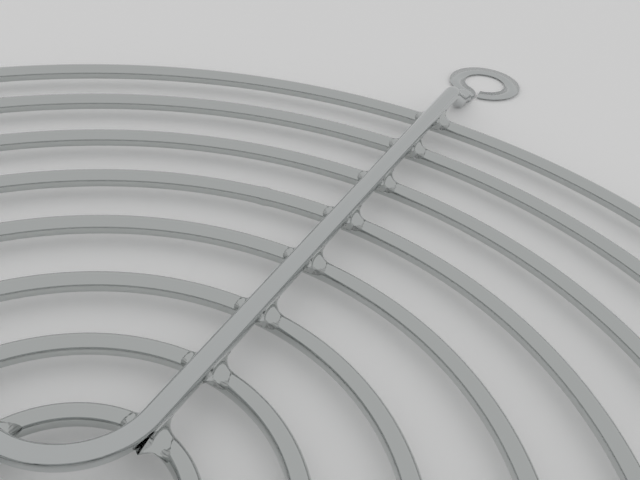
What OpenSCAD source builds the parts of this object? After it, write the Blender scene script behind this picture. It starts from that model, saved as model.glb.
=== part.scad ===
// Round wire finger guard for an axial fan: concentric rings welded to two V-shaped
// support wires, whose cranked and flattened ends are rolled into the screw eyes.
// Origin: on the guard's axis, in the plane where the eyes sit on the fan.
// +Z points away from the fan, and the eyes lie on the diagonals of X and Y.

/* [Rings] */
// Diameter of each ring along the middle of its wire, outermost first
ring_d = [116, 102, 87, 72.5, 58, 42.8, 28.8, 15.5]; // [14:0.1:118]
// Diameter of the wire that the rings are made of
ring_wire_d = 1.6; // [1.3:0.1:2]
// Height of the underside of the rings above the fan's face
ring_lift = 0.9; // [0.75:0.05:2]

/* [Butt welds] */
// Direction of the joint in each ring, in degrees from +X, outermost first
joint_at = [262, 276, 266, 57.5, 280, 258, 272, 268]; // [0:0.5:360]
// Length of the bead left where the two ends of a ring meet
bead_len = 0.9; // [0.5:0.1:1.5]
// Height of that bead above the wire
bead_rise = 0.08; // [0.05:0.01:0.2]
// Step between the two ends of the badly aligned ring
joint_step = 0.25; // [0.1:0.05:0.6]
// Height of the fin of flash under that joint
flash_h = 0.7; // [0.3:0.05:0.7]
// Width of the fin along the ring
flash_w = 0.6; // [0.3:0.05:0.8]
// Thickness of the fin
flash_t = 0.35; // [0.2:0.05:0.5]

/* [Support wires] */
// Diameter of the support wire
support_wire_d = 1.7; // [1.4:0.1:2.1]
// Radius of the bend at the centre, along the middle of the wire
bend_r = 6.5; // [4:0.1:7.5]
// Distance from the guard's axis to the middle of the wire at that bend
bend_reach = 2.9; // [2.9:0.1:3.6]
// How far the bend sits to one side of the guard's middle line
bend_shift = 1.4; // [0:0.1:1.6]
// Slope of the crank that brings the wire down to the fan's face
crank_angle = 36; // [30:1:45]
// Radius of the two bends of the crank, along the middle of the wire
crank_r = 2.2; // [1.6:0.1:2.6]
// Length of round wire between the crank and its rounded end
neck_len = 0.5; // [0.3:0.1:1.5]

/* [Crossing welds] */
// Depth that a weld sinks the two wires into each other
weld_sink = 0.2; // [0.1:0.05:0.3]
// Radius of the fillet that a weld leaves in each corner of a crossing
weld_fillet_r = 1.1; // [0.6:0.1:1.3]
// Thickness of the weld metal in the corners
weld_t = 0.45; // [0.3:0.05:0.7]

/* [Eyes] */
// Distance between the middles of neighbouring eyes
hole_spacing = 104.8; // [100:0.1:110]
// Diameter of the screw hole in an eye
eye_hole_d = 4.8; // [4.2:0.1:5.8]
// Width of the flattened wire round the hole
eye_band = 1.9; // [1.6:0.1:2.4]
// Thickness of the flattened wire
eye_t = 0.9; // [0.7:0.1:1.2]
// Length of flattened wire between the round wire's end and the eye
flat_len = 2; // [0:0.1:3]
// Distance from the line of the wire to the middle of the eye
eye_offset = 0.8; // [0:0.1:1.2]
// Gap between the cut end of the eye and its neck
eye_gap = 0.2; // [0.1:0.05:0.6]
// Length of the burr on the cut end
burr_len = 0.45; // [0.2:0.05:0.7]

/* [Hidden] */
$fn = 64;

ring_wire_r = ring_wire_d/2;
support_wire_r = support_wire_d/2;
// a bend draws the wire out, so it is a hair thinner there, and straight wire laps into it
bent_wire_r = support_wire_r - 0.01;
lap = 0.05;
ring_z = ring_lift + ring_wire_r;
support_z = ring_z + ring_wire_r - weld_sink + support_wire_r;

// the ring whose two ends don't line up, and the turn over which it strays
stepped_ring = 4;
stray_turn = 25;

// middle of the bend in a support wire, over the +Y half of the guard
bend_middle = [bend_shift, bend_reach + bend_r];

// the press leaves the underside of the round wire this far above that of the eye
press_step = 0.05;
neck_z = support_wire_r + press_step;

// the crank: an arc down, a straight slope and an arc back to level
crank_drop = support_z - neck_z;
arc_drop = crank_r*(1 - cos(crank_angle));
slope_len = (crank_drop - 2*arc_drop)/sin(crank_angle);
crank_run = 2*crank_r*sin(crank_angle) + slope_len*cos(crank_angle);

// the eye: its outer radius, the middle of its band, and how far short of its
// middle the line of the wire meets that
eye_r = eye_hole_d/2 + eye_band;
band_r = eye_hole_d/2 + eye_band/2;
band_meet = sqrt(band_r*band_r - eye_offset*eye_offset);
// length over which the wire spreads to the width of the band
spread_len = 1.2;
// from the end of the crank to the middle of the eye
eye_reach = neck_len + spread_len + flat_len + band_meet;

// the weld metal: half the width of its arms along each wire, and its level
arm_share = 0.85;
ring_arm = arm_share*ring_wire_r;
support_arm = arm_share*support_wire_r;
weld_z = ring_z + ring_wire_r - weld_sink/2 - weld_t/2;

// side is 1 for the leg on the +X side of a support wire and -1 for the other
function eye_middle(side) = [side*hole_spacing/2, hole_spacing/2];
function from_bend(side) = eye_middle(side) - bend_middle;
// where the leg leaves the bend, as an angle round the bend
function leaves_at(side) =
    atan2(from_bend(side).y, from_bend(side).x)
    - side*acos((bend_r + eye_offset)/norm(from_bend(side)));
function leg_start(side) =
    bend_middle + bend_r*[cos(leaves_at(side)), sin(leaves_at(side))];
function leg_angle(side) = leaves_at(side) + side*90;
// from the start of the leg to where it passes the eye's middle
function leg_reach(side) = sqrt(norm(from_bend(side))^2 - (bend_r + eye_offset)^2);
function straight_len(side) = leg_reach(side) - eye_reach - crank_run;
// distance along a leg at which it crosses a ring of radius r
function crossing(side, r) =
    let (start = leg_start(side), lead = start*[cos(leg_angle(side)), sin(leg_angle(side))])
    sqrt(lead*lead - start*start + r*r) - lead;

// ---- support wires ----

// Straight wire along +X that laps into the bend before it and the one after it
module round_wire(length) {
    translate([-lap, 0, 0]) rotate([0, 90, 0]) cylinder(r = support_wire_r, h = length + 2*lap);
}

// Wire bent round the Z axis, from the X axis on
module bent_wire(r, turn) {
    rotate_extrude(angle = turn) translate([r, 0]) circle(r = bent_wire_r);
}

// Stands its children at the start of a leg, with +X along the wire
module on_leg(side) {
    translate(leg_start(side)) rotate(leg_angle(side)) children();
}

module centre_bend() {
    translate([bend_middle.x, bend_middle.y, support_z])
        rotate(leaves_at(-1)) bent_wire(bend_r, 360 + leaves_at(1) - leaves_at(-1));
}

module straight_leg(side) {
    on_leg(side) translate([0, 0, support_z]) round_wire(straight_len(side));
}

// The part of the wire that crosses the rings
module crossing_wire() {
    centre_bend();
    for (side = [-1, 1]) straight_leg(side);
}

// Starts level at the origin and ends level, crank_run further and crank_drop lower
module crank() {
    translate([0, 0, -crank_r]) rotate([90, 0, 0])
        rotate(90 - crank_angle) bent_wire(crank_r, crank_angle);
    translate([crank_r*sin(crank_angle), 0, -arc_drop])
        rotate([0, crank_angle, 0]) round_wire(slope_len);
    translate([crank_run, 0, crank_r - crank_drop]) rotate([90, 0, 0])
        rotate(270 - crank_angle) bent_wire(crank_r, crank_angle);
}

// The last of the round wire, with the round end that the press leaves
module neck() {
    translate([-lap, 0, 0]) rotate([0, 90, 0]) rotate_extrude() {
        square([support_wire_r, neck_len + lap]);
        translate([0, neck_len + lap]) intersection() {
            circle(r = support_wire_r);
            square(support_wire_r);
        }
    }
}

// The flattened wire between the neck and the eye, spreading to the band's width
module flat_neck(length) {
    intersection() {
        rotate([90, 0, 90]) linear_extrude(length) {
            square([eye_band - eye_t, 2*eye_t], center = true);
            for (way = [-1, 1]) translate([way*(eye_band - eye_t)/2, eye_t/2]) circle(d = eye_t);
        }
        linear_extrude(eye_t) polygon([
            [0, -support_arm], [spread_len, -eye_band/2], [length, -eye_band/2],
            [length, eye_band/2], [spread_len, eye_band/2], [0, support_arm]
        ]);
    }
}

// The flattened band round the hole, with a straight bore and a rounded outer edge
module band() {
    rotate_extrude() translate([eye_hole_d/2, 0]) {
        square([eye_band - eye_t/2, eye_t]);
        translate([eye_band - eye_t/2, eye_t/2]) circle(d = eye_t);
    }
}

// Pointed burr beside the slot, on the cut end of the wire
module burr(slot_y) {
    linear_extrude(0.6*eye_t) polygon([
        [-eye_r + eye_t, slot_y], [-eye_r - burr_len, slot_y - 0.2],
        [-eye_r + 0.1, slot_y - 0.7], [-eye_r + eye_t, slot_y - 0.9]
    ]);
}

// The neck, its flattened part and the eye, from the end of the crank
module eye_end(side) {
    slot_y = eye_offset - eye_band/2;
    difference() {
        union() {
            translate([0, 0, neck_z]) neck();
            translate([neck_len, 0, 0]) flat_neck(spread_len + flat_len + 1);
            translate([eye_reach, -side*eye_offset, 0]) mirror([0, (1 - side)/2, 0]) {
                band();
                burr(slot_y - eye_gap);
            }
        }
        translate([eye_reach, -side*eye_offset, -1]) mirror([0, (1 - side)/2, 0]) {
            cylinder(d = eye_hole_d, h = eye_t + 2);
            translate([-eye_r - 1, slot_y - eye_gap, 0]) cube([eye_r + 1, eye_gap, eye_t + 2]);
        }
    }
}

module support_wire() {
    color("gainsboro") {
        crossing_wire();
        for (side = [-1, 1]) on_leg(side) {
            translate([straight_len(side), 0, support_z]) crank();
            translate([straight_len(side) + crank_run, 0, 0]) eye_end(side);
        }
    }
}

// ---- rings ----

module ring_section(grow = 0) {
    circle(r = ring_wire_r + grow);
}

module arc_of_ring(r, turn) {
    rotate_extrude(angle = turn) translate([r, 0]) ring_section();
}

module bead(r) {
    turn = bead_len/r*180/PI;
    rotate(-turn/2) rotate_extrude(angle = turn) translate([r, 0]) ring_section(bead_rise);
}

// A hoop whose last stretch strays outwards, so that its end misses the start by joint_step
module stepped_hoop(r) {
    wider = joint_step/(1 - cos(stray_turn));
    stray_r = r + wider;
    stretch = atan2(stray_r*sin(stray_turn), stray_r*cos(stray_turn) - wider);
    arc_of_ring(r, 360 - stretch);
    rotate(-stretch) translate([-wider, 0]) arc_of_ring(stray_r, stray_turn);
    translate([r, 0, -ring_wire_r/2]) rotate([90, 0, 90])
        linear_extrude(flash_t, center = true)
            polygon([[-flash_w/2, 0], [flash_w/2, 0], [flash_w/4, -ring_wire_r/2 - flash_h],
                     [-flash_w/4, -ring_wire_r/2 - flash_h]]);
}

// Weld metal in the four corners where a leg crosses a ring of radius r
module weld(side, r) {
    far_x = ring_arm + weld_fillet_r;
    far_y = support_arm + weld_fillet_r;
    on_leg(side) translate([crossing(side, r), 0, weld_z]) linear_extrude(weld_t) difference() {
        square([2*far_x, 2*far_y], center = true);
        for (x = [-far_x, far_x], y = [-far_y, far_y]) translate([x, y]) circle(r = weld_fillet_r);
    }
}

// One ring, counted from the outside, with its welds, seated under both support wires
module ring(number) {
    r = ring_d[number - 1]/2;
    color("silver") difference() {
        union() {
            translate([0, 0, ring_z]) rotate(joint_at[number - 1]) {
                if (number == stepped_ring) mirror([0, 1, 0]) stepped_hoop(r);
                else arc_of_ring(r, 360);
                bead(r);
            }
            for (turn = [0, 180], side = [-1, 1]) rotate(turn) weld(side, r);
        }
        for (turn = [0, 180]) rotate(turn) crossing_wire();
    }
}

ring(1);  // ring_1
ring(2);  // ring_2
ring(3);  // ring_3
ring(4);  // ring_4
ring(5);  // ring_5
ring(6);  // ring_6
ring(7);  // ring_7
ring(8);  // ring_8
support_wire();  // support_wire_1
rotate(180) support_wire();  // support_wire_2
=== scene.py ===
from math import acos, atan2, cos, exp, pi, radians, sin, sqrt

import bmesh
import bpy
from mathutils import Matrix, Vector, noise


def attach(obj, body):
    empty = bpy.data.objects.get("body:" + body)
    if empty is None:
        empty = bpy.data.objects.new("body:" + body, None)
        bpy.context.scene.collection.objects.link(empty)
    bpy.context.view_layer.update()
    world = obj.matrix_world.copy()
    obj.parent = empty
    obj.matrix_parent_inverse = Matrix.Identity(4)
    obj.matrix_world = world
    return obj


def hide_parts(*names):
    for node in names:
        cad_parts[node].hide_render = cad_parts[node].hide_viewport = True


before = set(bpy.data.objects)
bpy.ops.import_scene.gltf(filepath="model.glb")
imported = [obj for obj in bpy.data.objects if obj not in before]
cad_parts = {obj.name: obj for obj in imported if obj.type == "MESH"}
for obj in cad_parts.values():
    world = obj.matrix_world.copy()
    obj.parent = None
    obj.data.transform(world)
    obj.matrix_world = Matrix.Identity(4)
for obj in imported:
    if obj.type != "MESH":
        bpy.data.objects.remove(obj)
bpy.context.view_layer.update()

mm = 0.001  # the shapes below are in millimetres, in the guard's own frame
mergeWithin = 0.001  # points closer than this are one point


# small helpers

def hexColour(text):  # sRGB hex to the linear colour that a shader takes
    parts = [int(text[i:i + 2], 16) / 255 for i in (1, 3, 5)]
    return [c / 12.92 if c <= 0.04045 else ((c + 0.055) / 1.055) ** 2.4 for c in parts] + [1]


def addNode(tree, kind, settings=None, links=None):  # links: input name -> output socket
    node = tree.nodes.new(kind)
    for key, value in (settings or {}).items():
        if key in node.inputs:
            node.inputs[key].default_value = value
        else:
            setattr(node, key, value)
    for key, socket in (links or {}).items():
        tree.links.new(socket, node.inputs[key])
    return node


def plainSurface(name, settings):  # one principled shader with these settings
    material = bpy.data.materials.new(name)
    material.use_nodes = True
    tree = material.node_tree
    tree.nodes.clear()
    shader = addNode(tree, "ShaderNodeBsdfPrincipled", settings)
    addNode(tree, "ShaderNodeOutputMaterial", links={"Surface": shader.outputs[0]})
    return material


def vertsOf(edges):
    return list({v for e in edges for v in e.verts})


def ringOfEdges(mesh, radius, sides, turn):  # a wire's section, its plane set by turn
    made = bmesh.ops.create_circle(mesh, cap_ends=False, segments=sides, radius=radius, matrix=turn)
    return list({e for v in made["verts"] for e in v.link_edges})


def pull(mesh, edges, offset):  # carries a section straight on
    made = bmesh.ops.extrude_edge_only(mesh, edges=edges)["geom"]
    verts = [g for g in made if isinstance(g, bmesh.types.BMVert)]
    bmesh.ops.translate(mesh, verts=verts, vec=offset)
    return [g for g in made if isinstance(g, bmesh.types.BMEdge)
            and g.verts[0] in verts and g.verts[1] in verts]


def bend(mesh, edges, centre, axis, angle, steps):  # carries a section round an axis
    made = bmesh.ops.spin(mesh, geom=edges, cent=centre, axis=axis, dvec=(0, 0, 0), angle=angle,
                          steps=steps, use_merge=False, use_normal_flip=False, use_duplicate=False)
    return [g for g in made["geom_last"] if isinstance(g, bmesh.types.BMEdge)]


def finishPiece(mesh, name, node, material):
    bmesh.ops.recalc_face_normals(mesh, faces=mesh.faces)
    bmesh.ops.scale(mesh, vec=(mm, mm, mm), verts=mesh.verts)
    for face in mesh.faces:
        face.smooth = True
    data = bpy.data.meshes.new(name)
    mesh.to_mesh(data)
    mesh.free()
    piece = bpy.data.objects.new(name, data)
    bpy.context.collection.objects.link(piece)
    data.materials.append(material)
    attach(piece, "root")
    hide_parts(node)
    return piece


# sizes that the rings, the welds and the support wires share

guard = {
    "ringDiameters": [116, 102, 87, 72.5, 58, 42.8, 28.8, 15.5],
    "ringWire": 1.6,
    "ringLift": 0.9,
    "supportWire": 1.7,
    "sink": 0.2,
    "holeSpacing": 104.8,
}
ringR = guard["ringWire"] / 2
supportR = guard["supportWire"] / 2
ringZ = guard["ringLift"] + ringR
supportZ = ringZ + ringR - guard["sink"] + supportR

bendShape = {"radius": 6.5, "reach": 2.9, "shift": 1.4, "sides": 32, "steps": 20}
crank = {"angle": radians(36), "radius": 2.2, "pressStep": 0.05, "neck": 0.5, "steps": 8}
eye = {"hole": 4.8, "band": 1.9, "thick": 0.9, "offset": 0.8, "spread": 1.2, "flat": 2,
       "turnRadius": 1.2, "slot": 0.105, "pressSteps": 8, "turnSteps": 8, "loopSteps": 72,
       "onCentreLine": 1e-5}

bendMiddle = Vector((bendShape["shift"], bendShape["reach"] + bendShape["radius"]))
bandR = (eye["hole"] + eye["band"]) / 2
eyeReach = crank["neck"] + eye["spread"] + eye["flat"] + sqrt(bandR ** 2 - eye["offset"] ** 2)
neckZ = supportR + crank["pressStep"]
crankDrop = supportZ - neckZ
arcDrop = crank["radius"] * (1 - cos(crank["angle"]))
slopeLength = (crankDrop - 2 * arcDrop) / sin(crank["angle"])
crankRun = 2 * crank["radius"] * sin(crank["angle"]) + slopeLength * cos(crank["angle"])


def legOf(side):  # side 1 is the leg towards +X, -1 the other: start, direction and length
    half = guard["holeSpacing"] / 2
    fromBend = Vector((side * half, half)) - bendMiddle
    clear = bendShape["radius"] + eye["offset"]
    leaves = atan2(fromBend.y, fromBend.x) - side * acos(clear / fromBend.length)
    angle = leaves + side * pi / 2
    reach = sqrt(fromBend.length_squared - clear ** 2)
    start = bendMiddle + bendShape["radius"] * Vector((cos(leaves), sin(leaves)))
    return {"leaves": leaves, "start": start,
            "along": Vector((cos(angle), sin(angle))), "length": reach - eyeReach - crankRun}


legs = {side: legOf(side) for side in (1, -1)}


# support wires

def supportWire(name, node, turn, material):
    mesh = bmesh.new()
    centre = Vector((bendMiddle.x, bendMiddle.y, supportZ))
    for side in (1, -1):
        leg = legs[side]
        lowest = -pi / 2  # the middle of the bend, where the two halves of the wire meet
        sweep = leg["leaves"] - lowest if side == 1 else -(lowest + 2 * pi - leg["leaves"])
        section = ringOfEdges(mesh, supportR, bendShape["sides"], Matrix.Translation(
            centre + Vector((0, -bendShape["radius"], 0))) @ Matrix.Rotation(pi / 2, 4, "Y"))
        section = bend(mesh, section, centre, (0, 0, 1), sweep, bendShape["steps"])
        along = Vector((*leg["along"], 0))
        across = along.cross(Vector((0, 0, 1)))
        start = Vector((*leg["start"], supportZ))
        section = pull(mesh, section, along * leg["length"])
        at = start + along * leg["length"]
        inside = Vector((0, 0, crank["radius"]))
        section = bend(mesh, section, at - inside, across, -crank["angle"], crank["steps"])
        slope = along * cos(crank["angle"]) - Vector((0, 0, sin(crank["angle"])))
        section = pull(mesh, section, slope * slopeLength)
        level = at + along * crankRun - Vector((0, 0, crankDrop))
        section = bend(mesh, section, level + inside, across, crank["angle"], crank["steps"])
        section = pull(mesh, section, along * crank["neck"])
        eyeEnd(mesh, section, level + along * crank["neck"], along, side)
    bmesh.ops.remove_doubles(mesh, verts=mesh.verts, dist=mergeWithin)
    bmesh.ops.rotate(mesh, verts=mesh.verts, cent=(0, 0, 0), matrix=Matrix.Rotation(turn, 3, "Z"))
    return finishPiece(mesh, name, node, material)


def eyeEnd(mesh, section, at, along, side):
    left = Vector((0, 0, 1)).cross(along) * side  # towards the inside of the V
    here = at.copy()

    def press(edges, halfWide, low, high):  # presses a section into a flat oval
        halfThick = (high - low) / 2
        for v in vertsOf(edges):
            across, rise = (v.co - here).dot(left), v.co.z - neckZ
            angle = atan2(rise, across)
            wide = cos(angle) * halfThick
            if abs(wide) > eye["onCentreLine"]:
                wide += (halfWide - halfThick) * (1 if wide > 0 else -1)
            v.co += left * (wide - across)
            v.co.z = low + halfThick + sin(angle) * halfThick

    top = neckZ + supportR
    steps = eye["pressSteps"]
    for k in range(1, steps + 1):  # the round wire ends in a quarter round
        go, before = sin(k / steps * pi / 2), sin((k - 1) / steps * pi / 2)
        section = pull(mesh, section, along * eye["thick"] * (go - before))
        here += along * eye["thick"] * (go - before)
        high = top + (eye["thick"] - top) * (1 - sqrt(max(1 - go ** 2, 0)))
        press(section, supportR + (eye["band"] / 2 - supportR) * go, crank["pressStep"] * (1 - go), high)
    middle = at + along * (eyeReach - crank["neck"]) - left * eye["offset"]
    turnRadius = eye["turnRadius"]
    lead = sqrt((bandR + turnRadius) ** 2 - (turnRadius + eye["offset"]) ** 2)
    section = pull(mesh, section, along * ((middle - here).dot(along) - lead))
    here = middle - along * lead + left * eye["offset"]
    section = bend(mesh, section, here + left * turnRadius, (0, 0, side),
                   atan2(lead, turnRadius + eye["offset"]), eye["turnSteps"])
    section = bend(mesh, section, middle, (0, 0, -side),
                   atan2(turnRadius + eye["offset"], -lead) + pi - eye["slot"], eye["loopSteps"])
    bmesh.ops.contextual_create(mesh, geom=section)


# rings, with the weld metal that holds them to the support wires

welds = {"ball": 1.1, "steps": 10, "arcSteps": 8}
ringShape = {"sides": 28, "fewestSteps": 120, "stepsPerRadius": 6, "fineSteps": 24}
joints = {"at": [262, 276, 266, 57.5, 280, 258, 272, 268], "rise": 0.08, "length": 0.45, "fine": 1.5,
          "evenShare": 0.8, "unevenShare": 0.5, "unevenScale": 2.3}


def ballPlaces(radius, side):  # where a ball resting on both wires rolls, quarter by quarter
    rho = welds["ball"]
    leg = legs[side]
    high = ringZ + ringR + rho
    low = supportZ - supportR - rho
    places = []
    legOut = Vector((-leg["along"].y, leg["along"].x))
    for outward, leftward in ((1, 1), (1, -1), (-1, -1), (-1, 1)):
        quarter = []
        for k in range(welds["steps"] + 1):
            z = low + (high - low) * (1 - cos(pi * k / welds["steps"])) / 2
            a = sqrt(max((ringR + rho) ** 2 - (z - ringZ) ** 2, 0))
            b = sqrt(max((supportR + rho) ** 2 - (z - supportZ) ** 2, 0))
            startSide = leg["start"] + legOut * b * leftward
            lead = startSide.dot(leg["along"])
            r = radius + outward * a
            run = sqrt(max(lead ** 2 - startSide.length_squared + r ** 2, 0)) - lead
            spot = startSide + leg["along"] * run
            onLeg = leg["start"] + leg["along"] * run
            quarter.append((Vector((*spot, z)), Vector((*(spot.normalized() * radius), ringZ)),
                            Vector((*onLeg, supportZ))))
        if outward * leftward > 0:
            quarter.reverse()
        places += quarter[:-1]
    return places


def weldCollar(mesh, radius, side, turn):
    loops = []
    for ball, ringSpot, legSpot in ballPlaces(radius, side):
        first = ball + (ringSpot - ball).normalized() * welds["ball"]
        last = ball + (legSpot - ball).normalized() * welds["ball"]
        across = (first - ball).cross(last - ball).normalized()
        start = mesh.verts.new(first)
        bmesh.ops.spin(mesh, geom=[start], cent=ball, axis=across, dvec=(0, 0, 0),
                       angle=(first - ball).angle(last - ball), steps=welds["arcSteps"],
                       use_merge=False, use_normal_flip=False, use_duplicate=False)
        chain = [start]
        while len(chain) <= welds["arcSteps"]:
            chain.append(next(e.other_vert(chain[-1]) for e in chain[-1].link_edges
                              if e.other_vert(chain[-1]) not in chain))
        loops.append(chain + [mesh.verts.new((ringSpot + legSpot) / 2)])  # closed inside the wires
    for here, there in zip(loops, loops[1:] + loops[:1]):
        for j in range(len(here)):
            k = (j + 1) % len(here)
            mesh.faces.new((here[j], here[k], there[k], there[j]))
    bmesh.ops.rotate(mesh, verts=[v for loop in loops for v in loop], cent=(0, 0, 0),
                     matrix=Matrix.Rotation(turn, 3, "Z"))


def ring(number, material):
    radius = guard["ringDiameters"][number - 1] / 2
    at = radians(joints["at"][number - 1])
    mesh = bmesh.new()
    for turn in (0, pi):
        for side in (1, -1):
            weldCollar(mesh, radius, side, turn)
    fine = joints["fine"] / radius
    turn = Matrix.Rotation(at + fine, 4, "Z") @ Matrix.Translation((radius, 0, ringZ))
    section = ringOfEdges(mesh, ringR, ringShape["sides"], turn @ Matrix.Rotation(pi / 2, 4, "X"))
    first = vertsOf(section)
    steps = max(ringShape["fewestSteps"], int(radius * ringShape["stepsPerRadius"]))
    section = bend(mesh, section, (0, 0, 0), (0, 0, 1), 2 * pi - 2 * fine, steps)
    section = bend(mesh, section, (0, 0, 0), (0, 0, 1), 2 * fine, ringShape["fineSteps"])
    bmesh.ops.remove_doubles(mesh, verts=first + vertsOf(section), dist=mergeWithin)
    swellJoint(mesh, radius, at)
    return finishPiece(mesh, "ringWire%d" % number, "ring_%d" % number, material)


def swellJoint(mesh, radius, at):  # the low bead where the two ends of a ring were butted
    place = Vector((radius * cos(at), radius * sin(at), ringZ))
    for v in mesh.verts:
        offset = v.co - place
        if offset.length < joints["fine"] + ringR:
            flat = Vector((v.co.x, v.co.y, 0)).normalized()
            middle = flat * radius + Vector((0, 0, ringZ))
            run = (middle - place).length
            swell = joints["rise"] * exp(-(run / joints["length"]) ** 2)
            uneven = noise.noise(v.co * joints["unevenScale"])
            swell *= joints["evenShare"] + joints["unevenShare"] * uneven
            v.co += (v.co - middle).normalized() * min(swell, joints["rise"])


# materials

def chrome(name, tint, roughness):
    return plainSurface(name, {"Base Color": hexColour(tint), "Metallic": 1, "Roughness": roughness})


ringChrome = chrome("nickelChromeRing", "#c9cccb", 0.08)  # bright nickel-chrome plate on steel ring wire
supportChrome = chrome("nickelChromeSupport", "#cdd0d0", 0.08)  # the same plate on the support wires

for number in range(1, 9):
    ring(number, ringChrome)
print("rings made")
supportWire("supportWireBack", "support_wire_1", 0, supportChrome)
supportWire("supportWireFront", "support_wire_2", pi, supportChrome)
print("support wires made")


# camera, floor and light

cameraView = {"place": (2.55, -32.68, 45.91), "yaw": 0.3467, "pitch": -0.6393, "roll": 0.1062,
              "lens": 48.32, "sensor": 36, "nearest": 0.001}
stage = {"floorSize": 2, "floorColour": "#ffffff", "floorRoughness": 0.9, "worldColour": (1, 1, 1, 1),
         "worldStrength": 0.6}


def addCamera(view):
    forward = Vector((sin(view["yaw"]) * cos(view["pitch"]), cos(view["yaw"]) * cos(view["pitch"]),
                      sin(view["pitch"])))
    right = Vector((cos(view["yaw"]), -sin(view["yaw"]), 0))
    up = right.cross(forward)
    tiltedRight = cos(view["roll"]) * right + sin(view["roll"]) * up
    tiltedUp = -sin(view["roll"]) * right + cos(view["roll"]) * up
    data = bpy.data.cameras.new("camera")
    data.lens = view["lens"]
    data.sensor_width = view["sensor"]
    data.clip_start = view["nearest"]
    camera = bpy.data.objects.new("camera", data)
    turn = Matrix((tiltedRight, tiltedUp, -forward)).transposed().to_4x4()
    camera.matrix_world = Matrix.Translation(Vector(view["place"]) * mm) @ turn
    bpy.context.collection.objects.link(camera)
    bpy.context.scene.camera = camera


addCamera(cameraView)


def addFloor():
    mesh = bmesh.new()
    bmesh.ops.create_grid(mesh, x_segments=1, y_segments=1, size=stage["floorSize"])
    data = bpy.data.meshes.new("floor")
    mesh.to_mesh(data)
    mesh.free()
    floor = bpy.data.objects.new("floor", data)
    bpy.context.collection.objects.link(floor)
    data.materials.append(plainSurface("palePaper", {  # matt white paper under the guard
        "Base Color": hexColour(stage["floorColour"]), "Roughness": stage["floorRoughness"]}))


addFloor()


world = bpy.data.worlds.new("studio")
bpy.context.scene.world = world
world.use_nodes = True
background = world.node_tree.nodes["Background"]
background.inputs["Color"].default_value = stage["worldColour"]
background.inputs["Strength"].default_value = stage["worldStrength"]
print("stage set")

bpy.context.scene.view_settings.view_transform = "Standard"
